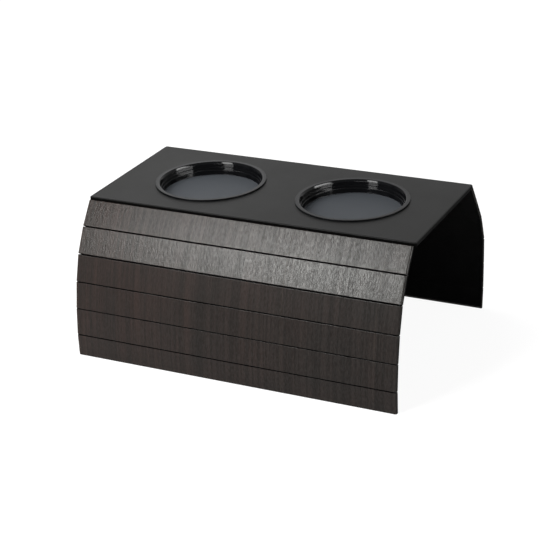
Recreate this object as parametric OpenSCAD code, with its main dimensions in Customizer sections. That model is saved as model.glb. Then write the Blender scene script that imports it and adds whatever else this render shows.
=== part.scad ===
// Sofa arm tray with two drink holders, draped as it stands on its own.
// A flat board carries two moulded cups. A flap of wooden slats hangs from each of its long sides.
// One cloth, glued behind the board and the slats, is the hinge at every fold.
// X runs along the slats, Y from the front flap to the rear flap, Z up.
// The tray stands on the lower edges of its flaps at Z = 0, and the origin is under its middle.

/* [Board] */
// Length of the board, along the slats
board_l = 313; // [290:1:360]
// Width of the board, from flap to flap
board_w = 141.4; // [125:0.2:200]
// Thickness of the board
board_t = 3.4; // [2.6:0.1:6]
// Bevel around the board's top edge
board_bevel = 0.4; // [0.2:0.1:1]
// Radius of the board's corners, seen from above
board_corner_r = 2.2; // [0.6:0.2:8]

/* [Slats] */
// Length of every slat
slat_l = 310; // [260:1:340]
// Width of each slat but the lowest
slat_w = 24.4; // [18:0.1:32]
// Width of the lowest slat of each flap
end_slat_w = 20.2; // [12:0.1:32]
// Thickness of the slats
slat_t = 3.4; // [2.4:0.1:5]
// Saw cut between neighbouring slats, measured at the cloth
slat_gap = 0.3; // [0.2:0.1:2]
// Bevel on the outer long edges of a slat
slat_bevel = 0.3; // [0.1:0.1:0.8]
// Bevel on the outer edges of a slat's two ends
slat_end_bevel = 0.9; // [0.2:0.1:2]

/* [Drape] */
// Lean of the front slats out of upright, in degrees, from the board down
front_lean_angles = [36.5, 28.5, 16.5, 10, 5.5, 0]; // [0:0.5:45]
// Lean of the rear slats below the first one, whose lean makes both flaps reach the floor
rear_lower_lean_angles = [33, 19, -0.5, -2, -6]; // [-10:0.5:45]

/* [Drink holders] */
// Distance between the middles of the two cups
cup_spacing = 140; // [112:1:170]
// Inner diameter of a cup under its rim
well_d = 92; // [70:1:105]
// Depth of a cup's floor under the board's top
well_depth = 10.5; // [8:0.5:25]
// Thickness of a cup's wall and floor
cup_wall = 1.6; // [1.2:0.1:2.4]
// How far each of the two ledges steps the wall in
ledge_w = 0.7; // [0.4:0.1:1.5]
// Depth of the upper ledge under the board's top
upper_ledge = 3.8; // [2.5:0.1:5]
// Height of the wall between the two ledges
ledge_rise = 2.6; // [1.5:0.1:3.5]
// How far the rim reaches out past the cup's wall, over the board
rim_w = 2.9; // [2:0.1:5]
// Height of the rim above the board
rim_h = 1.5; // [1.2:0.1:3]
// Play between a cup and its hole in the board
hole_play = 0.3; // [0.1:0.1:0.8]

/* [Backing cloth] */
// Thickness of the cloth
cloth_t = 0.8; // [0.4:0.1:1.5]
// How far the cloth stops short of the slats' ends
cloth_end_inset = 1; // [0.5:0.5:8]
// How far the cloth stops short of the lowest edges
cloth_low_inset = 2; // [1:0.5:6]
// How much wider than the board's holes the cloth is cut out
cloth_hole_margin = 1; // [0.5:0.5:2]

/* [Hidden] */
$fn = 96;
// Facets of a small rounding, per quarter turn
round_steps = 6;
// How far a cutter runs past the face that it cuts
past = 1;

slats = len(front_lean_angles);
slat_pitch = slat_w + slat_gap;
end_pitch = end_slat_w + slat_gap / 2;
cup_r = well_d / 2 + cup_wall;
rim_r = cup_r + rim_w;
hole_r = cup_r + hole_play;
cup_base_z = -well_depth - cup_wall;

// Distance along the cloth from one fold to the next, or to the lower edge
function pitch_of(i) = i < slats - 1 ? slat_pitch : end_pitch;

// Outward and downward travel from the board's fold to fold i
function travel_out(leans, i) =
    i == 0 ? 0 : travel_out(leans, i - 1) + pitch_of(i - 1) * sin(leans[i - 1]);
function travel_down(leans, i) =
    i == 0 ? 0 : travel_down(leans, i - 1) + pitch_of(i - 1) * cos(leans[i - 1]);

// Extra drop of the outer corner of a lowest slat that leans inwards
function corner_drop(lean) = max(0, -(slat_t - slat_bevel) * sin(lean));
flap_drop = travel_down(front_lean_angles, slats) + corner_drop(front_lean_angles[slats - 1]);

// The first rear slat takes up what the other rear slats leave of the front flap's drop.
// Laid flat, as in this list, it would add none.
flat_lean = 90;
rear_rest = concat([flat_lean], rear_lower_lean_angles);
rear_rest_drop = travel_down(rear_rest, slats) + corner_drop(rear_rest[slats - 1]);
rear_lean_angles = concat([acos((flap_drop - rear_rest_drop) / slat_pitch)], rear_lower_lean_angles);

// Folds of a flap, from the board down, as [outward, up] from the middle of the board's underside
board_fold = board_w / 2 + slat_gap / 2;
function fold(leans, i) = [board_fold + travel_out(leans, i), flap_drop - travel_down(leans, i)];
function slat_width(i) = i < slats - 1 ? slat_w : end_slat_w;

// How far out a flap reaches, at the bevelled outer edges of its slats
function slat_reach(leans, i, along) =
    board_fold + travel_out(leans, i) + along * sin(leans[i]) + slat_t * cos(leans[i]);
function reach(leans) = max([
    for (i = [0 : slats - 1])
        for (along = [slat_gap / 2 + slat_bevel, slat_gap / 2 + slat_width(i) - slat_bevel])
            slat_reach(leans, i, along)
]);
// The board sits this far from the middle of the whole tray
board_y = (reach(front_lean_angles) - reach(rear_lean_angles)) / 2;
board_top = flap_drop + board_t;

// A bar of one cross-section along X, drawn as [Y, Z]
module bar(length, outline) {
    rotate([90, 0, 90]) linear_extrude(length, center = true) polygon(outline);
}

// A flat section on Z = 0 whose two top corners are bevelled
function bevelled_section(width, thick, bevel) = [
    [-width / 2, 0], [width / 2, 0],
    [width / 2, thick - bevel], [width / 2 - bevel, thick],
    [-width / 2 + bevel, thick], [-width / 2, thick - bevel]
];

// A flat slab on Z = 0 whose top edges are bevelled, along its sides and across its ends
module bevelled_slab(length, width, thick, side_bevel, end_bevel) {
    intersection() {
        bar(length, bevelled_section(width, thick, side_bevel));
        rotate([0, 0, 90]) bar(width, bevelled_section(length, thick, end_bevel));
    }
}

module at_cups() {
    for (side = [-1, 1]) translate([side * cup_spacing / 2, 0, 0]) children();
}

// A quarter turn of points about a centre, from one angle to another
function quarter(centre, radius, from, to) = [
    for (k = [0 : round_steps])
        let (a = from + (to - from) * k / round_steps)
        centre + radius * [cos(a), sin(a)]
];

// The board seen from above, with its four corners rounded
function board_plan() =
    let (x = board_l / 2 - board_corner_r, y = board_w / 2 - board_corner_r)
    concat(
        quarter([x, y], board_corner_r, 0, 90),
        quarter([-x, y], board_corner_r, 90, 180),
        quarter([-x, -y], board_corner_r, 180, 270),
        quarter([x, -y], board_corner_r, 270, 360)
    );

// The board: bevelled all round on top, with a round hole for each cup
module top_board() {
    color([0.17, 0.17, 0.175])
    translate([0, board_y, flap_drop])
    difference() {
        intersection() {
            bevelled_slab(board_l, board_w, board_t, board_bevel, board_bevel);
            linear_extrude(board_t) polygon(board_plan());
        }
        at_cups() translate([0, 0, -past]) cylinder(r = hole_r, h = board_t + 2 * past);
    }
}

// Half section of a cup, as [radius, Z] with Z = 0 on the board's top
function cup_outline() =
    let (
        well_r = well_d / 2,
        middle_r = well_r - ledge_w,
        floor_r = middle_r - ledge_w,
        lower_ledge = upper_ledge + ledge_rise,
        rim_round = rim_h / 2,
        lip_round = rim_h / 3,
        foot_round = cup_wall / 2
    )
    concat(
        [[0, cup_base_z]],
        quarter([floor_r + cup_wall - foot_round, cup_base_z + foot_round], foot_round, -90, 0),
        [[floor_r + cup_wall, -lower_ledge - cup_wall]],
        [[cup_r, -upper_ledge - cup_wall], [cup_r, 0], [rim_r, 0]],
        quarter([rim_r - rim_round, rim_h - rim_round], rim_round, 0, 90),
        quarter([well_r + lip_round, rim_h - lip_round], lip_round, 90, 180),
        [[well_r, -upper_ledge], [middle_r, -upper_ledge]],
        [[middle_r, -lower_ledge], [floor_r, -lower_ledge]],
        quarter([floor_r - foot_round, -well_depth + foot_round], foot_round, 0, -90),
        [[0, -well_depth]]
    );

// A moulded drink holder: it drops through the board and hangs by its rim
module cup(side) {
    color([0.11, 0.11, 0.12])
    translate([side * cup_spacing / 2, board_y, board_top])
    rotate_extrude() polygon(cup_outline());
}

// Draws its children on the front flap's side or on the rear one's; they are drawn outward along +Y
module flap(front) {
    translate([0, board_y, 0]) mirror([0, front ? 1 : 0, 0]) children();
}

// One slat of a flap, counted from 1 at the board, glued to the cloth by its inner face
module slat(front, number) {
    i = number - 1;
    leans = front ? front_lean_angles : rear_lean_angles;
    start = fold(leans, i);
    middle = -(slat_gap + slat_width(i)) / 2;
    color([0.23, 0.2, 0.185])
    flap(front) translate([0, start[0], start[1]]) rotate([leans[i], 0, 0]) translate([0, 0, middle])
    rotate([-90, 0, 0]) bevelled_slab(slat_l, slat_width(i), slat_t, slat_bevel, slat_end_bevel);
}

// The cloth's outer side from fold to fold down one flap, stopped short of the lower edge
function cloth_side(leans) = concat(
    [for (i = [0 : slats - 1]) fold(leans, i)],
    [fold(leans, slats) - cloth_low_inset * [sin(leans[slats - 1]), -cos(leans[slats - 1])]]
);
function mirrored(path) = [for (k = [len(path) - 1 : -1 : 0]) [-path[k][0], path[k][1]]];

// Unit normal of a path's stretch k, on the right-hand side of its travel
function stretch_normal(path, k) =
    let (d = path[k + 1] - path[k])
    [d[1], -d[0]] / norm(d);
// The path moved sideways, with its corners mitred
function side_path(path, distance) =
    let (last = len(path) - 1)
    [
        for (k = [0 : last])
            let (
                a = stretch_normal(path, max(k - 1, 0)),
                b = stretch_normal(path, min(k, last - 1))
            )
            path[k] + distance * (a + b) / (1 + a * b)
    ];

// One cloth behind the slats and the board, with an opening for each cup
module backing_cloth() {
    outside = concat(mirrored(cloth_side(front_lean_angles)), cloth_side(rear_lean_angles));
    inside = side_path(outside, cloth_t);
    turned = [for (k = [len(inside) - 1 : -1 : 0]) inside[k]];
    color([0.04, 0.04, 0.045])
    translate([0, board_y, 0])
    difference() {
        bar(slat_l - 2 * cloth_end_inset, concat(outside, turned));
        at_cups() translate([0, 0, flap_drop - cloth_t - past])
            cylinder(r = hole_r + cloth_hole_margin, h = cloth_t + 2 * past);
    }
}

top_board();
cup(-1);  // left_cup
cup(1);  // right_cup
for (i = [1 : slats]) {
    slat(true, i);
    slat(false, i);
}
backing_cloth();
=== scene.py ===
"""A sofa arm tray with two drink holders, draped as it stands on its own: the finish of every piece."""
import math

import bmesh
import bpy
from mathutils import Matrix, Vector


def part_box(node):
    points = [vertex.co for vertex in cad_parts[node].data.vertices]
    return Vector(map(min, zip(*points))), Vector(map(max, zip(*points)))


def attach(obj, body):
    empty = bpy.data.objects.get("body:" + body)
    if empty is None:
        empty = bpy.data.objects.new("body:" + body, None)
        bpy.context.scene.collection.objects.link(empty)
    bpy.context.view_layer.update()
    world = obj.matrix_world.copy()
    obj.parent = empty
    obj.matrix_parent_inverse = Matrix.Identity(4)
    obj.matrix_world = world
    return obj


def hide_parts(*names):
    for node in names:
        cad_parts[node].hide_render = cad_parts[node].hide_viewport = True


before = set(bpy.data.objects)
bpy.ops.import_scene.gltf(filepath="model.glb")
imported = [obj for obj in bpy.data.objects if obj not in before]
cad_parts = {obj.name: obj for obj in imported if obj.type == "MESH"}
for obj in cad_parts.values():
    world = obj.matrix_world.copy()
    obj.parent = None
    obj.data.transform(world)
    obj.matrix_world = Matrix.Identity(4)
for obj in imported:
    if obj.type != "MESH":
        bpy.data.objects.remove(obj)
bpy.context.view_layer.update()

SLATS_PER_FLAP = 6
FRONT_SLATS = [f"front_slat_{n}" for n in range(1, SLATS_PER_FLAP + 1)]
REAR_SLATS = [f"rear_slat_{n}" for n in range(1, SLATS_PER_FLAP + 1)]
CUPS = ["left_cup", "right_cup"]

# Real sizes of the drink holders, in metres
CUP_WALL = 0.0016
RIM_WIDTH = 0.0045
LEDGE_WIDTH = 0.0007
UPPER_LEDGE_DEPTH = 0.0038
LEDGE_RISE = 0.0026
RIM_OUTER_ROUND = 0.00025
LEAD_IN_DEPTH = 0.0018
LEAD_IN_WIDTH = 0.00098
RIM_INNER_ROUND = 0.0006
LEAD_IN_ROUND = 0.0003
LEDGE_ROUND = 0.0003
FLOOR_ROUND = 0.0003
CUP_FACETS = 256

# Steps in each rounding of a cup: its smallest corners, its well, its foot and its rim
SMALL_CORNER_STEPS = 2
WELL_STEPS = 3
FOOT_STEPS = 4
RIM_STEPS = 5

# Real sizes of the board, the slats and the cloth, in metres
BOARD_CORNER_RADIUS = 0.0022
BOARD_CORNER_STEPS = 6
BOARD_EDGE_ROUND = 0.0012
BOARD_EDGE_STEPS = 6
HOLE_PLAY = 0.0003
SLAT_THICKNESS = 0.0034
SLAT_END_ROUND = 0.0015
SLAT_END_STEPS = 6
SLAT_EDGE_ROUND = 0.0005
SLAT_EDGE_STEPS = 3
CLOTH_THICKNESS = 0.0008
CLOTH_LOW_INSET = 0.002
CLOTH_HOLE_MARGIN = 0.001
CLOTH_FOLD_ROUND = 0.0004
CLOTH_FOLD_STEPS = 3
CLOTH_THREAD_PITCH = 0.0009

# Fine steps that the mould leaves round a cup's wall: their pitch in metres, and the slope of their flanks
# next to the rim, down to the ledges and under them
MOULD_STEP_PITCH = 0.0006
MOULD_SLOPE_AT_RIM = math.radians(28)
MOULD_SLOPE = math.radians(21.5)
MOULD_SLOPE_LOW = math.radians(19)

# The glossy wall's specular level, and its level in the band of this depth, in metres, next to the rim
WALL_GLEAM = 0.095
WALL_GLEAM_AT_RIM = 0.11
RIM_BAND_DEPTH = 0.001

# The stained wood: its browns, a painted shade that darkens its right end (+X), and the marks that lie over
# it
WOOD_BROWNS = ((0, (0.0096, 0.0050, 0.0037)), (0.5, (0.0124, 0.0063, 0.0047)), (1, (0.0170, 0.0074, 0.0051)))
WOOD_PAINTED_SHADE = (0.0058, 0.0034, 0.0026)
WOOD_PAINTED_SHADE_SHARE = 0.9
REDDISH_PATCH = (0.0190, 0.0072, 0.0050)
FINE_LINE = (0.0058, 0.0044, 0.0038)
DARK_FLECK = (0.0048, 0.0038, 0.0034)
PALE_LINE = (0.042, 0.031, 0.023)
REDDISH_PATCH_SHARE = 0.30
FINE_LINE_SHARE = 0.70
DARK_FLECK_SHARE = 0.30
PALE_LINE_SHARE = 0.28

# Where the wood's painted shade and its uneven gleam set in, in metres along X, and its specular level and
# its range
WOOD_PAINTED_SHADE_REACH = (-0.15, 0.15)
WOOD_GLEAM_REACH = (-0.15, 0.05)
WOOD_GLEAM = 0.24
WOOD_GLEAM_RANGE = (0.035, 0.075)

# Where pale lines run down the whole front, in metres along X, and how strong each is
PALE_LINES = ((-0.1464, 0.6), (-0.0456, 0.6), (0.0480, 1.0), (0.1340, 0.65))
PALE_LINE_WIDTH = 0.0008

# Points that lie closer together than this, in metres, are one point
SAME_POINT = 1e-6

# Angles: a corner that is shaded sharp, triangles that join into one flat face, a slat's sawn corner
# and the least bend of the cloth that is softened
SHARP_CORNER = math.radians(50)
FLAT_WITHIN = math.radians(1)
SAWN_CORNER = math.radians(60)
LEAST_FOLD = math.radians(0.5)

# Shares of a face's direction along an axis: above the first three it faces that way, and below the last
# two it stands upright or lies along a slat's length
FACES_UP = 0.9
FACES_OUT = 0.9
FACES_END = 0.95
UPRIGHT_BELOW = 0.5
LENGTHWISE_BELOW = 0.3

# Places of a piece's second and third finish in its list
SECOND_FINISH, THIRD_FINISH = 1, 2

# The side of the room, left of the tray and behind it, that is darker where it is mirrored, and where that
# dark side, the dimmer front and its lower limit fade out, as parts of a direction of length 1
DARK_SIDE = (-0.966, 0.259, 0)
DARK_SIDE_FADE = (0.70, 0.82)
FRONT_FADE = (0.1, -0.1)
LOWER_FADE = (0.20, 0.30)
FLOOR_FACETS = 96

BOARD_LO, BOARD_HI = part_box("top_board")
BOARD_MIDDLE = (BOARD_LO + BOARD_HI) / 2
CUP_LO, CUP_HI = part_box("left_cup")
RIM_RADIUS = (CUP_HI.x - CUP_LO.x) / 2
WELL_RADIUS = RIM_RADIUS - RIM_WIDTH
HOLE_RADIUS = WELL_RADIUS + CUP_WALL + HOLE_PLAY


# Shapes

def piece_from(bm, name, materials):
    """A piece with its origin at the frame's, its place in its mesh, and smooth but for its sharp corners."""
    mesh = bpy.data.meshes.new(name)
    bm.to_mesh(mesh)
    bm.free()
    for material in materials:
        mesh.materials.append(material)
    for face in mesh.polygons:
        face.use_smooth = True
    mesh.set_sharp_from_angle(angle=SHARP_CORNER)
    piece = bpy.data.objects.new(name, mesh)
    bpy.context.collection.objects.link(piece)
    return piece


def shade_evenly(piece):
    """Lets a large flat face keep its own direction next to the small roundings."""
    even = piece.modifiers.new("even_shading", "WEIGHTED_NORMAL")
    even.weight = 100
    even.keep_sharp = True


def put_on(piece, node):
    """The piece stands for a node of the construction, which it hides, and rides on the root."""
    shade_evenly(piece)
    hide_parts(node)
    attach(piece, "root")


def middle_of(node):
    """The middle of a node's box, seen from above."""
    lo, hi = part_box(node)
    return Vector(((lo.x + hi.x) / 2, (lo.y + hi.y) / 2, 0))


def ring_edges(bm, radius, height):
    """The edges of a turned shape that lie on one circle about its axis."""
    def on_circle(vert):
        return math.hypot(vert.co.xy.length - radius, vert.co.z - height) < SAME_POINT
    return [edge for edge in bm.edges if all(on_circle(vert) for vert in edge.verts)]


def turned_cup(node, glossy, satin, frosted):
    """One moulded drink holder, turned from its half section and rounded at its corners."""
    board_top = BOARD_HI.z
    middle_r = WELL_RADIUS - LEDGE_WIDTH
    floor_r = middle_r - LEDGE_WIDTH
    outer_r = WELL_RADIUS + CUP_WALL
    foot_r = floor_r + CUP_WALL
    lead_in_r = WELL_RADIUS + LEAD_IN_WIDTH
    foot_z, rim_z = CUP_LO.z, CUP_HI.z
    lead_in_z = rim_z - LEAD_IN_DEPTH
    floor_z = foot_z + CUP_WALL
    upper_z = board_top - UPPER_LEDGE_DEPTH
    lower_z = upper_z - LEDGE_RISE
    section = [
        (0, foot_z), (foot_r, foot_z), (foot_r, lower_z - CUP_WALL), (outer_r, upper_z - CUP_WALL),
        (outer_r, board_top), (RIM_RADIUS, board_top), (RIM_RADIUS, rim_z), (lead_in_r, rim_z),
        (WELL_RADIUS, lead_in_z), (WELL_RADIUS, upper_z), (middle_r, upper_z), (middle_r, lower_z),
        (floor_r, lower_z), (floor_r, floor_z), (0, floor_z),
    ]
    rounded = [
        (foot_r, foot_z, FLOOR_ROUND, FOOT_STEPS),
        (RIM_RADIUS, rim_z, RIM_OUTER_ROUND, RIM_STEPS),
        (lead_in_r, rim_z, RIM_INNER_ROUND, RIM_STEPS),
        (WELL_RADIUS, lead_in_z, LEAD_IN_ROUND, WELL_STEPS),
        (middle_r, upper_z, LEDGE_ROUND, WELL_STEPS),
        (floor_r, lower_z, LEDGE_ROUND, WELL_STEPS),
        (floor_r, floor_z, FLOOR_ROUND, WELL_STEPS),
        (WELL_RADIUS, upper_z, LEDGE_ROUND, SMALL_CORNER_STEPS),
        (middle_r, lower_z, LEDGE_ROUND, SMALL_CORNER_STEPS),
        (RIM_RADIUS, board_top, LEDGE_ROUND, SMALL_CORNER_STEPS),
    ]
    bm = bmesh.new()
    points = [bm.verts.new((r, 0, z)) for r, z in section]
    lines = [bm.edges.new(pair) for pair in zip(points, points[1:])]
    bmesh.ops.spin(bm, geom=points + lines, axis=(0, 0, 1), cent=(0, 0, 0), angle=math.tau,
                   steps=CUP_FACETS, use_merge=True)
    bmesh.ops.remove_doubles(bm, verts=bm.verts, dist=SAME_POINT)
    bmesh.ops.recalc_face_normals(bm, faces=bm.faces)
    for radius, height, width, segments in rounded:
        bmesh.ops.bevel(bm, geom=ring_edges(bm, radius, height), offset=width, offset_type="OFFSET",
                        affect="EDGES", segments=segments, profile=0.5, material=-1)
    for face in bm.faces:
        centre = face.calc_center_median()
        if centre.z > board_top and centre.xy.length > lead_in_r + RIM_INNER_ROUND:
            face.material_index = SECOND_FINISH
        elif face.normal.z > FACES_UP and centre.z < floor_z + SAME_POINT:
            face.material_index = THIRD_FINISH
    bmesh.ops.translate(bm, verts=bm.verts, vec=middle_of(node))
    cup = piece_from(bm, f"turned_{node}", [glossy, satin, frosted])
    put_on(cup, node)


def round_corner(sx, sy, y, half_length, radius, z):
    """Points along one rounded corner of a rectangle, counter-clockwise."""
    centre = Vector((sx * (half_length - radius), y - sy * radius, z))
    first = {(1, 1): 0, (-1, 1): 90, (-1, -1): 180, (1, -1): 270}[sx, sy]
    angles = [math.radians(first + 90 * step / BOARD_CORNER_STEPS) for step in range(BOARD_CORNER_STEPS + 1)]
    return [centre + radius * Vector((math.cos(a), math.sin(a), 0)) for a in angles]


def sheet_with_cup_holes(bm, half_length, z, hole_r, corner_r=0):
    """A flat region as deep as the board, with a round hole at each cup; returns its faces."""
    corners = []
    for sx, sy, y in ((1, 1, BOARD_HI.y), (-1, 1, BOARD_HI.y), (-1, -1, BOARD_LO.y), (1, -1, BOARD_LO.y)):
        if corner_r:
            corners += round_corner(sx, sy, y, half_length, corner_r, z)
        else:
            corners.append(Vector((sx * half_length, y, z)))
    outline = [bm.verts.new(point) for point in corners]
    edges = [bm.edges.new(pair) for pair in zip(outline, outline[1:] + outline[:1])]
    for node in CUPS:
        place = Matrix.Translation(middle_of(node) + Vector((0, 0, z)))
        ring = bmesh.ops.create_circle(bm, segments=CUP_FACETS, radius=hole_r, cap_ends=False, matrix=place)
        edges += list({edge for vert in ring["verts"] for edge in vert.link_edges})
    filled = bmesh.ops.triangle_fill(bm, edges=edges, use_beauty=True, use_dissolve=False)
    faces = [item for item in filled["geom"] if isinstance(item, bmesh.types.BMFace)]
    bmesh.ops.recalc_face_normals(bm, faces=faces)
    if faces[0].normal.z < 0:
        bmesh.ops.reverse_faces(bm, faces=faces)
    return faces


def cut_board(lacquer, cut_edge):
    """The flat board, with its holes and a rounded upper edge."""
    bm = bmesh.new()
    faces = sheet_with_cup_holes(bm, BOARD_HI.x, BOARD_LO.z, HOLE_RADIUS, BOARD_CORNER_RADIUS)
    raised = bmesh.ops.extrude_face_region(bm, geom=faces)["geom"]
    top_verts = [item for item in raised if isinstance(item, bmesh.types.BMVert)]
    top = [item for item in raised if isinstance(item, bmesh.types.BMFace)]
    bmesh.ops.translate(bm, verts=top_verts, vec=(0, 0, BOARD_HI.z - BOARD_LO.z - BOARD_EDGE_ROUND))
    for step in range(BOARD_EDGE_STEPS):
        a, b = (math.pi / 2 * k / BOARD_EDGE_STEPS for k in (step, step + 1))
        bmesh.ops.inset_region(bm, faces=top, use_even_offset=True,
                               thickness=BOARD_EDGE_ROUND * (math.cos(a) - math.cos(b)),
                               depth=BOARD_EDGE_ROUND * (math.sin(b) - math.sin(a)))
    underside = [face for face in bm.faces if face.calc_center_median().z < BOARD_LO.z + SAME_POINT]
    bmesh.ops.reverse_faces(bm, faces=underside)
    bmesh.ops.recalc_face_normals(bm, faces=bm.faces)
    for face in bm.faces:
        if abs(face.normal.z) < UPRIGHT_BELOW:
            face.material_index = SECOND_FINISH
    board = piece_from(bm, "lacquered_board", [lacquer, cut_edge])
    put_on(board, "top_board")


def clean_copy(node):
    """The node's shape with its loose triangles joined into flat faces."""
    bm = bmesh.new()
    bm.from_mesh(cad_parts[node].data)
    bmesh.ops.remove_doubles(bm, verts=bm.verts, dist=SAME_POINT)
    bmesh.ops.dissolve_limit(bm, angle_limit=FLAT_WITHIN, verts=bm.verts, edges=bm.edges)
    return bm


def sawn_slat(node, wood, sawn):
    """One slat: a bar on the node's place, with its outer ends rounded over and all other edges eased."""
    lo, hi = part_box(node)
    upper, lower = inner_edges(node)
    down = Vector((0, *(lower - upper).normalized()))
    outward = Vector((1, 0, 0)).cross(down)
    if upper.x < BOARD_MIDDLE.y:
        outward.negate()
    middle = Vector((0, *((upper + lower) / 2))) + outward * SLAT_THICKNESS / 2
    turn = Matrix((down.cross(outward), down, outward)).transposed().to_4x4()
    size = (hi.x - lo.x, (lower - upper).length, SLAT_THICKNESS)
    bm = bmesh.new()
    bmesh.ops.create_cube(bm, size=1, matrix=Matrix.Translation(middle) @ turn @ Matrix.Diagonal((*size, 1)))
    outer_ends = [edge for edge in bm.edges
                  if abs(edge.verts[0].co.x - edge.verts[1].co.x) < SAME_POINT
                  and all((vert.co - middle).dot(outward) > 0 for vert in edge.verts)]
    bmesh.ops.bevel(bm, geom=outer_ends, offset=SLAT_END_ROUND, offset_type="OFFSET",
                    affect="EDGES", segments=SLAT_END_STEPS, profile=0.5, material=-1)
    corners = [edge for edge in bm.edges if edge.calc_face_angle(0) > SAWN_CORNER]
    bmesh.ops.bevel(bm, geom=corners, offset=SLAT_EDGE_ROUND, offset_type="OFFSET",
                    affect="EDGES", segments=SLAT_EDGE_STEPS, profile=0.5, material=-1)
    for face in bm.faces:
        across = abs(face.normal.x)
        is_end = across > FACES_END
        is_long_edge = across < LENGTHWISE_BELOW and abs(face.normal.dot(outward)) < FACES_OUT
        if is_end or is_long_edge:
            face.material_index = SECOND_FINISH
    slat = piece_from(bm, f"sawn_{node}", [wood, sawn])
    put_on(slat, node)


def inner_edges(node):
    """The upper and the lower edge of a slat's inner face, each as (y, z)."""
    bm = clean_copy(node)
    inner = max(bm.faces, key=lambda face: face.calc_area())
    ends = {(round(vert.co.y, 6), round(vert.co.z, 6)) for vert in inner.verts}
    bm.free()
    ends = sorted(ends, key=lambda point: point[1])
    return Vector(ends[-1]), Vector(ends[0])


def hung_cloth(material):
    """The cloth glued behind the board and every slat, bent softly at each gap between slats."""
    cloth_lo, cloth_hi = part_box("backing_cloth")
    opening_r = HOLE_RADIUS + CLOTH_HOLE_MARGIN
    bm = bmesh.new()
    front = [inner_edges(node) for node in FRONT_SLATS]
    rear = [inner_edges(node) for node in REAR_SLATS]
    sheet_with_cup_holes(bm, cloth_hi.x, BOARD_LO.z, opening_r)
    flat_length = BOARD_HI.y - BOARD_LO.y
    for start_y, flap in ((BOARD_LO.y, front), (BOARD_HI.y, rear)):
        here = Vector((start_y, BOARD_LO.z))
        line = [edge for edge in bm.edges
                if all((vert.co.yz - here).length < SAME_POINT for vert in edge.verts)]
        route = [point for slat in flap for point in slat]
        upper, lower = flap[-1]
        route[-1] = lower + CLOTH_LOW_INSET * (upper - lower).normalized()
        for point in route:
            out = bmesh.ops.extrude_edge_only(bm, edges=line)["geom"]
            line = [item for item in out if isinstance(item, bmesh.types.BMEdge)]
            moved = [item for item in out if isinstance(item, bmesh.types.BMVert)]
            bmesh.ops.translate(bm, verts=moved, vec=(0, *(point - here)))
            flat_length += (point - here).length
            here = point
    bmesh.ops.recalc_face_normals(bm, faces=bm.faces)
    if max(bm.faces, key=lambda face: face.calc_center_median().z).normal.z < 0:
        bmesh.ops.reverse_faces(bm, faces=bm.faces)
    folds = [edge for edge in bm.edges
             if len(edge.link_faces) == 2 and edge.calc_face_angle(0) > LEAST_FOLD]
    bmesh.ops.bevel(bm, geom=folds, offset=CLOTH_FOLD_ROUND, offset_type="OFFSET",
                    affect="EDGES", segments=CLOTH_FOLD_STEPS, profile=0.5, material=-1, clamp_overlap=True)
    cloth = piece_from(bm, "glued_cloth", [material])
    thick = cloth.modifiers.new("thickness", "SOLIDIFY")
    thick.thickness = CLOTH_THICKNESS
    thick.offset = -1
    put_on(cloth, "backing_cloth")


# Finishes

def connect(tree, value, socket):
    """Links an output to a socket, or sets the socket's value."""
    if isinstance(value, bpy.types.NodeSocket):
        tree.links.new(value, socket)
    elif isinstance(value, tuple) and socket.type == "RGBA":
        socket.default_value = (*value[:3], 1)
    else:
        socket.default_value = value


def add(tree, kind, settings=None, **sockets):
    """A node with its settings and its sockets, each socket given as a value or as what feeds it."""
    node = tree.nodes.new(kind)
    for name, value in (settings or {}).items():
        setattr(node, name, value)
    for name, value in sockets.items():
        connect(tree, value, node.inputs[name.replace("_", " ")])
    return node


def feed(tree, shader, **sockets):
    """Sets or links the shader's own sockets."""
    for name, value in sockets.items():
        connect(tree, value, shader.inputs[name.replace("_", " ")])


def calc(tree, operation, a, b=0.0):
    """A Math node on two numbers or outputs."""
    node = add(tree, "ShaderNodeMath", {"operation": operation})
    connect(tree, a, node.inputs[0])
    connect(tree, b, node.inputs[1])
    return node.outputs[0]


def spread(tree, value, start, end, low=0.0, high=1.0):
    """A number that runs from low to high as the value runs from start to end."""
    node = add(tree, "ShaderNodeMapRange", Value=value, From_Min=start, From_Max=end, To_Min=low, To_Max=high)
    return node.outputs[0]


def weighted(tree, *parts):
    """The sum of several masks, each with its own weight."""
    total = 0.0
    for mask, weight in parts:
        total = calc(tree, "ADD", total, calc(tree, "MULTIPLY", mask, weight))
    return total


def ramp(tree, factor, *stops):
    """A colour ramp through (position, colour) stops."""
    node = add(tree, "ShaderNodeValToRGB", Fac=factor)
    elements = node.color_ramp.elements
    while len(elements) < len(stops):
        elements.new(1)
    for element, (position, colour) in zip(elements, stops):
        element.position = position
        element.color = (*colour, 1)
    return node.outputs["Color"]


def blended(tree, factor, a, b):
    """Two colours mixed by a factor."""
    node = add(tree, "ShaderNodeMix", {"data_type": "RGBA", "clamp_factor": True})
    colour_sockets = [socket for socket in node.inputs if socket.type == "RGBA"]
    connect(tree, factor, node.inputs[0])
    connect(tree, a, colour_sockets[0])
    connect(tree, b, colour_sockets[1])
    return next(socket for socket in node.outputs if socket.type == "RGBA")


def effect(name, inputs, outputs):
    """An empty shader node group with named inputs and outputs."""
    tree = bpy.data.node_groups.new(name, "ShaderNodeTree")
    for label, kind, default in inputs:
        socket = tree.interface.new_socket(label, in_out="INPUT", socket_type=kind)
        if default is not None:
            socket.default_value = default
    for label in outputs:
        tree.interface.new_socket(label, in_out="OUTPUT", socket_type="NodeSocketFloat")
    given = tree.nodes.new("NodeGroupInput")
    return tree, given.outputs, tree.nodes.new("NodeGroupOutput")


def use(tree, group, **sockets):
    """A group placed in a material with its own values."""
    return add(tree, "ShaderNodeGroup", {"node_tree": group}, **sockets).outputs


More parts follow.
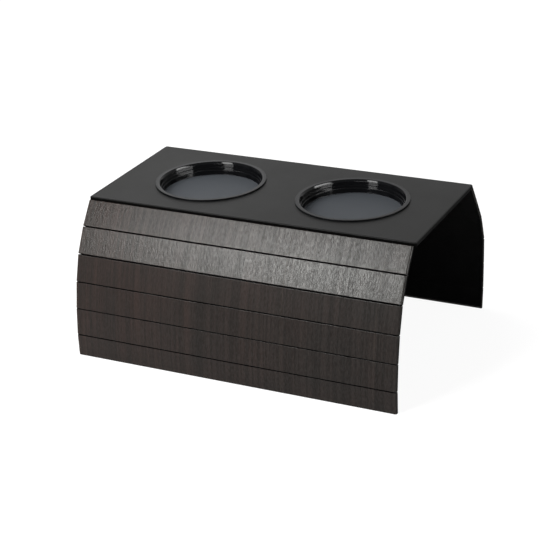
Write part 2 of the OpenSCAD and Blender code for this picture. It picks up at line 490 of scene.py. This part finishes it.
def make_streaks():
    """Noise drawn out down a flap: lines of a given width across X and of a given length down the slats."""
    tree, given, out = effect(
        "streaks",
        [("Vector", "NodeSocketVector", None), ("Width", "NodeSocketFloat", 0.001),
         ("Length", "NodeSocketFloat", 0.1), ("Detail", "NodeSocketFloat", 2.0),
         ("Low", "NodeSocketFloat", 0.35), ("High", "NodeSocketFloat", 0.65)],
        ["Mask"])
    across = calc(tree, "DIVIDE", 1.0, given["Width"])
    down = calc(tree, "DIVIDE", 1.0, given["Length"])
    scale = add(tree, "ShaderNodeCombineXYZ", X=across, Y=down, Z=down)
    drawn = add(tree, "ShaderNodeVectorMath", {"operation": "MULTIPLY"})
    tree.links.new(given["Vector"], drawn.inputs[0])
    tree.links.new(scale.outputs[0], drawn.inputs[1])
    noise = add(tree, "ShaderNodeTexNoise", Vector=drawn.outputs[0], Scale=1.0, Detail=given["Detail"])
    tree.links.new(spread(tree, noise.outputs["Fac"], given["Low"], given["High"]), out.inputs["Mask"])
    return tree


def make_mottle():
    """Soft uneven patches and a fine orange-peel grain, for a finish that isn't perfectly even."""
    tree, given, out = effect(
        "mottle",
        [("Vector", "NodeSocketVector", None), ("Patch Size", "NodeSocketFloat", 0.03),
         ("Grain Size", "NodeSocketFloat", 0.001)],
        ["Patches", "Grain"])
    patches = add(tree, "ShaderNodeTexNoise", Vector=given["Vector"], Detail=3.0,
                  Scale=calc(tree, "DIVIDE", 1.0, given["Patch Size"]))
    grain = add(tree, "ShaderNodeTexNoise", Vector=given["Vector"], Detail=2.0,
                Scale=calc(tree, "DIVIDE", 1.0, given["Grain Size"]))
    tree.links.new(spread(tree, patches.outputs["Fac"], 0.3, 0.7), out.inputs["Patches"])
    tree.links.new(grain.outputs["Fac"], out.inputs["Grain"])
    return tree


def finish_of(name):
    """A new material, its node tree, its shader and the piece's own coordinates."""
    material = bpy.data.materials.new(name)
    material.use_nodes = True
    tree = material.node_tree
    shader = tree.nodes["Principled BSDF"]
    where = tree.nodes.new("ShaderNodeTexCoord").outputs["Object"]
    return material, tree, shader, where


def even_finish(name, mottle, colours, roughness, gloss, patch, grain, relief, relief_depth):
    """One finish all over: two close colours in soft patches, two roughnesses and a fine grain in relief."""
    material, tree, shader, where = finish_of(name)
    uneven = use(tree, mottle, Vector=where, Patch_Size=patch, Grain_Size=grain)
    colour = ramp(tree, uneven["Patches"], (0, colours[0]), (1, colours[1]))
    rough = spread(tree, uneven["Patches"], 0, 1, *roughness)
    bump = add(tree, "ShaderNodeBump", Strength=relief, Distance=relief_depth, Height=uneven["Grain"])
    feed(tree, shader, Base_Color=colour, Roughness=rough, Normal=bump.outputs[0])
    shader.inputs["Specular IOR Level"].default_value = gloss
    return material


def board_lacquer(mottle):
    """Satin charcoal lacquer on fibreboard."""
    return even_finish("board_lacquer", mottle, colours=((0.0049, 0.0049, 0.0048), (0.0067, 0.0067, 0.0065)),
                       roughness=(0.42, 0.48), gloss=0.085, patch=0.045, grain=0.0007,
                       relief=0.12, relief_depth=0.0002)


def board_cut_edge(mottle):
    """The board's routed edge, where the lacquer soaks in and stays matt."""
    return even_finish("board_cut_edge", mottle, colours=((0.0015, 0.0015, 0.0014), (0.0021, 0.0021, 0.0019)),
                       roughness=(0.65, 0.75), gloss=0.02, patch=0.012, grain=0.0005,
                       relief=0.25, relief_depth=0.0002)


def cup_gloss():
    """Glossy black moulding with fine steps round its wall, for the wall and the ledges."""
    material, tree, shader, where = finish_of("cup_gloss")
    height = add(tree, "ShaderNodeSeparateXYZ", Vector=where).outputs["Z"]
    half = MOULD_STEP_PITCH / 2
    steps = spread(tree, calc(tree, "PINGPONG", height, half), 0, half)
    wall_top = CUP_HI.z - LEAD_IN_DEPTH
    on_wall = calc(tree, "LESS_THAN", height, wall_top)
    low, middle, high = (math.tan(slope) for slope in (MOULD_SLOPE_LOW, MOULD_SLOPE, MOULD_SLOPE_AT_RIM))
    ledge_z = BOARD_HI.z - UPPER_LEDGE_DEPTH
    near_rim = spread(tree, height, wall_top - RIM_BAND_DEPTH, wall_top)
    steepness = calc(tree, "ADD", spread(tree, height, ledge_z - LEDGE_RISE, ledge_z, low, middle),
                     spread(tree, near_rim, 0, 1, 0.0, high - middle))
    relief = calc(tree, "MULTIPLY", calc(tree, "MULTIPLY", steps, steepness), on_wall)
    bump = add(tree, "ShaderNodeBump", Strength=1.0, Distance=half, Height=relief)
    feed(tree, shader, Base_Color=(0.0020, 0.0021, 0.0026), Roughness=0.09, Normal=bump.outputs[0],
         Specular_IOR_Level=spread(tree, near_rim, 0, 1, WALL_GLEAM, WALL_GLEAM_AT_RIM))
    return material


def cup_lip(mottle):
    """The cups' flat rim, moulded a little duller than the wall."""
    return even_finish("cup_lip", mottle, colours=((0.0032, 0.0034, 0.0038), (0.0042, 0.0044, 0.0049)),
                       roughness=(0.30, 0.36), gloss=0.10, patch=0.017, grain=0.0004,
                       relief=0.04, relief_depth=0.0001)


def cup_frosted_floor(mottle):
    """The cups' floor, frosted and a cool dark grey."""
    return even_finish("cup_frosted_floor", mottle,
                       colours=((0.0355, 0.0389, 0.0435), (0.0375, 0.0409, 0.0455)),
                       roughness=(0.48, 0.54), gloss=0.06, patch=0.03, grain=0.0005,
                       relief=0.08, relief_depth=0.0001)


def sawn_end(mottle):
    """The slats' sawn ends, stained nearly black and matt."""
    return even_finish("sawn_end", mottle, colours=((0.0014, 0.0012, 0.0011), (0.0022, 0.0018, 0.0016)),
                       roughness=(0.70, 0.80), gloss=0.02, patch=0.002, grain=0.0004,
                       relief=0.40, relief_depth=0.0002)


def pale_lines(tree, x, fading):
    """How strong the wood's pale lines are, faded along their length."""
    mask = None
    for place, strength in PALE_LINES:
        away = calc(tree, "ABSOLUTE", calc(tree, "SUBTRACT", x, place))
        line = spread(tree, away, PALE_LINE_WIDTH / 4, PALE_LINE_WIDTH, strength, 0.0)
        mask = calc(tree, "MAXIMUM", mask, line) if mask else line
    return calc(tree, "MULTIPLY", mask, fading)


def slat_wood(streaks, mottle):
    """Dark stained wood with open fibres that run down the flap and catch the light."""
    material, tree, shader, where = finish_of("slat_wood")

    def drawn(width, length, detail, low, high):
        outputs = use(tree, streaks, Vector=where, Width=width, Length=length, Detail=detail,
                      Low=low, High=high)
        return outputs["Mask"]

    bands = drawn(0.022, 0.15, 3.0, 0.30, 0.70)
    lines = drawn(0.0026, 0.16, 3.0, 0.38, 0.62)
    flecks = drawn(0.0009, 0.0035, 3.0, 0.34, 0.66)
    pores = drawn(0.0005, 0.0045, 2.0, 0.32, 0.68)
    fading = drawn(0.01, 0.05, 2.0, 0.25, 0.60)
    x = add(tree, "ShaderNodeSeparateXYZ", Vector=where).outputs["X"]
    brown = ramp(tree, bands, *WOOD_BROWNS)
    # Painted shade: the colour runs towards a darker tone at the right end (+X), standing in for shade that
    # falls there
    colour = blended(tree, spread(tree, x, *WOOD_PAINTED_SHADE_REACH, 0.0, WOOD_PAINTED_SHADE_SHARE), brown, WOOD_PAINTED_SHADE)
    uneven = use(tree, mottle, Vector=where, Patch_Size=0.03, Grain_Size=0.0009)
    marks = [
        (uneven["Patches"], REDDISH_PATCH_SHARE, REDDISH_PATCH), (lines, FINE_LINE_SHARE, FINE_LINE),
        (flecks, DARK_FLECK_SHARE, DARK_FLECK), (pale_lines(tree, x, fading), PALE_LINE_SHARE, PALE_LINE),
    ]
    for mask, share, tone in marks:
        colour = blended(tree, calc(tree, "MULTIPLY", mask, share), colour, tone)
    rough = spread(tree, flecks, 0, 1, 0.29, 0.36)
    relief = weighted(tree, (flecks, 1.0), (pores, 0.45), (uneven["Grain"], 0.15))
    bump = add(tree, "ShaderNodeBump", Strength=1.0, Distance=0.00006, Height=relief)
    feed(tree, shader, Base_Color=colour, Roughness=rough, Normal=bump.outputs[0])
    speckle = weighted(tree, (flecks, 0.45), (pores, 0.25), (lines, 0.30))
    unevenness = spread(tree, x, *WOOD_GLEAM_REACH, *WOOD_GLEAM_RANGE)
    gleam = calc(tree, "MULTIPLY", spread(tree, speckle, 0.2, 0.8, 1.0, -1.0), unevenness)
    feed(tree, shader, Specular_IOR_Level=calc(tree, "ADD", gleam, WOOD_GLEAM))
    shader.inputs["Specular Tint"].default_value = (0.98, 1.0, 0.97, 1.0)
    return material


def backing_cloth(mottle):
    """Plain black woven cloth, matt."""
    material, tree, shader, where = finish_of("backing_cloth")
    place = add(tree, "ShaderNodeSeparateXYZ", Vector=where).outputs
    turns = math.tau / CLOTH_THREAD_PITCH
    warp = calc(tree, "SINE", calc(tree, "MULTIPLY", place["X"], turns))
    weft = calc(tree, "SINE", calc(tree, "MULTIPLY", calc(tree, "ADD", place["Y"], place["Z"]), turns))
    uneven = use(tree, mottle, Vector=where, Patch_Size=0.02, Grain_Size=0.0007)
    relief = calc(tree, "ADD", calc(tree, "MULTIPLY", warp, weft), uneven["Grain"])
    colour = ramp(tree, uneven["Patches"], (0, (0.0074, 0.0074, 0.0075)), (1, (0.0100, 0.0100, 0.0101)))
    bump = add(tree, "ShaderNodeBump", Strength=0.5, Distance=0.0001, Height=relief)
    feed(tree, shader, Base_Color=colour, Normal=bump.outputs[0], Roughness=0.95)
    shader.inputs["Specular IOR Level"].default_value = 0.02
    return material


# Stage, light and camera

def seen_directly(tree):
    """1 for camera, glossy and transmission rays, 0 for the rays that light the object."""
    path = tree.nodes.new("ShaderNodeLightPath").outputs
    seen = calc(tree, "MAXIMUM", path["Is Camera Ray"], path["Is Glossy Ray"])
    return calc(tree, "MAXIMUM", seen, path["Is Transmission Ray"])


def kept_aside(tree, direction, share):
    """The share of its brightness that the room keeps on its dark side, where it is mirrored."""
    towards = add(tree, "ShaderNodeVectorMath", {"operation": "DOT_PRODUCT"})
    tree.links.new(direction, towards.inputs[0])
    towards.inputs[1].default_value = DARK_SIDE
    mirrored = tree.nodes.new("ShaderNodeLightPath").outputs["Is Glossy Ray"]
    aside = calc(tree, "MULTIPLY", spread(tree, towards.outputs["Value"], *DARK_SIDE_FADE), mirrored)
    return spread(tree, aside, 0, 1, 1.0, share)


def white_world(light, front_mirrored, side_mirrored):
    """White where it is seen, a weaker even light on the object, and dimmer where its front above the floor
    and its dark side are mirrored."""
    world = bpy.data.worlds.new("white_room")
    bpy.context.scene.world = world
    world.use_nodes = True
    tree = world.node_tree
    background = tree.nodes["Background"]
    background.inputs["Color"].default_value = (1, 1, 1, 1)
    towards = tree.nodes.new("ShaderNodeTexCoord").outputs["Generated"]
    direction = add(tree, "ShaderNodeSeparateXYZ", Vector=towards).outputs
    ahead = spread(tree, direction["Y"], *FRONT_FADE)
    above = spread(tree, direction["Z"], *LOWER_FADE)
    mirrored = tree.nodes.new("ShaderNodeLightPath").outputs["Is Glossy Ray"]
    dimmed = calc(tree, "MULTIPLY", calc(tree, "MULTIPLY", ahead, above), mirrored)
    seen = spread(tree, seen_directly(tree), 0, 1, light, 1.0)
    strength = calc(tree, "MULTIPLY", seen, spread(tree, dimmed, 0, 1, 1.0, front_mirrored))
    strength = calc(tree, "MULTIPLY", strength, kept_aside(tree, towards, side_mirrored))
    tree.links.new(strength, background.inputs["Strength"])


def pale_floor(radius, lit_colour, shown_colour, fade, brightness, mirrored_share, side_mirrored):
    """A pale floor that fades into the white backdrop and keeps a faint shadow of the tray."""
    bm = bmesh.new()
    bmesh.ops.create_circle(bm, cap_ends=True, segments=FLOOR_FACETS, radius=radius)
    material, tree, shader, where = finish_of("pale_floor")
    tree.nodes.remove(shader)
    away = add(tree, "ShaderNodeVectorMath", {"operation": "LENGTH"})
    tree.links.new(where, away.inputs[0])
    mirrored = tree.nodes.new("ShaderNodeLightPath").outputs["Is Glossy Ray"]
    shine = calc(tree, "MULTIPLY", spread(tree, away.outputs["Value"], *fade, *brightness),
                 spread(tree, mirrored, 0, 1, 1.0, mirrored_share))
    way = add(tree, "ShaderNodeVectorMath", {"operation": "NORMALIZE"})
    tree.links.new(where, way.inputs[0])
    shine = calc(tree, "MULTIPLY", shine, kept_aside(tree, way.outputs["Vector"], side_mirrored))
    lit = add(tree, "ShaderNodeBsdfDiffuse", Color=(lit_colour,) * 3)
    paper = add(tree, "ShaderNodeBsdfDiffuse", Color=(shown_colour,) * 3)
    glow = add(tree, "ShaderNodeEmission", Strength=shine)
    shown = tree.nodes.new("ShaderNodeAddShader")
    tree.links.new(paper.outputs[0], shown.inputs[0])
    tree.links.new(glow.outputs[0], shown.inputs[1])
    mix = add(tree, "ShaderNodeMixShader", Fac=seen_directly(tree))
    tree.links.new(lit.outputs[0], mix.inputs[1])
    tree.links.new(shown.outputs[0], mix.inputs[2])
    tree.links.new(mix.outputs[0], tree.nodes["Material Output"].inputs["Surface"])
    piece_from(bm, "floor", [material])


def soft_light(name, place, size, radiance, diffuse=True, mirrored=True):
    """A flat soft light that faces the tray; it can leave out matt colour, or reflections."""
    data = bpy.data.lights.new(name, "AREA")
    data.shape = "RECTANGLE"
    data.size, data.size_y = size
    data.energy = radiance * math.pi * size[0] * size[1]
    lamp = bpy.data.objects.new(name, data)
    lamp.location = place
    lamp.rotation_euler = (BOARD_MIDDLE - Vector(place)).to_track_quat("-Z", "Y").to_euler()
    lamp.visible_diffuse, lamp.visible_glossy = diffuse, mirrored
    bpy.context.collection.objects.link(lamp)


def camera(turned, dip, roll, lens, board_seen_at):
    """The photograph's viewpoint, worked out from the tray's edges and the cups' rims."""
    turn = (Matrix.Rotation(math.radians(turned), 4, "Z") @ Matrix.Rotation(math.radians(90 - dip), 4, "X")
            @ Matrix.Rotation(math.radians(roll), 4, "Z"))
    data = bpy.data.cameras.new("camera")
    data.sensor_width = 36.0
    data.lens = lens
    eye = bpy.data.objects.new("camera", data)
    board_top = Vector((0, BOARD_MIDDLE.y, BOARD_HI.z))
    eye.matrix_world = Matrix.Translation(board_top - turn.to_3x3() @ Vector(board_seen_at)) @ turn
    bpy.context.collection.objects.link(eye)
    bpy.context.scene.camera = eye


camera(turned=26.4967, dip=24.4558, roll=-2.6074, lens=101.506, board_seen_at=(0.000391, 0.080141, -1.410869))
white_world(light=0.22, front_mirrored=0.55, side_mirrored=0.3)
pale_floor(radius=4.0, lit_colour=0.82, shown_colour=0.14, fade=(0.3, 0.9), brightness=(0.94, 1.0),
           mirrored_share=0.86, side_mirrored=0.3)
# The low side light shows in reflections alone and the light above lights matt colour alone, since the low
# one would leave the cups' floors in the shade of their walls
soft_light("key_light", place=(-0.26, -0.67, 0.574), size=(0.30, 0.376), radiance=28.0)
soft_light("side_light", place=(2.24, 0.12, 1.14), size=(1.85, 0.72), radiance=26.0, diffuse=False)
soft_light("top_light", place=(-0.35, 0.10, 0.80), size=(0.60, 0.60), radiance=6.5, mirrored=False)
soft_light("back_light", place=(-1.53, 1.70, 1.16), size=(1.25, 1.30), radiance=0.6)
bpy.context.scene.view_settings.view_transform = "Standard"

streaks = make_streaks()
mottle = make_mottle()
wood = slat_wood(streaks, mottle)
ends = sawn_end(mottle)
gloss, lip, frosted_floor = cup_gloss(), cup_lip(mottle), cup_frosted_floor(mottle)

cut_board(board_lacquer(mottle), board_cut_edge(mottle))
for node in CUPS:
    turned_cup(node, gloss, lip, frosted_floor)
for node in FRONT_SLATS + REAR_SLATS:
    sawn_slat(node, wood, ends)
hung_cloth(backing_cloth(mottle))
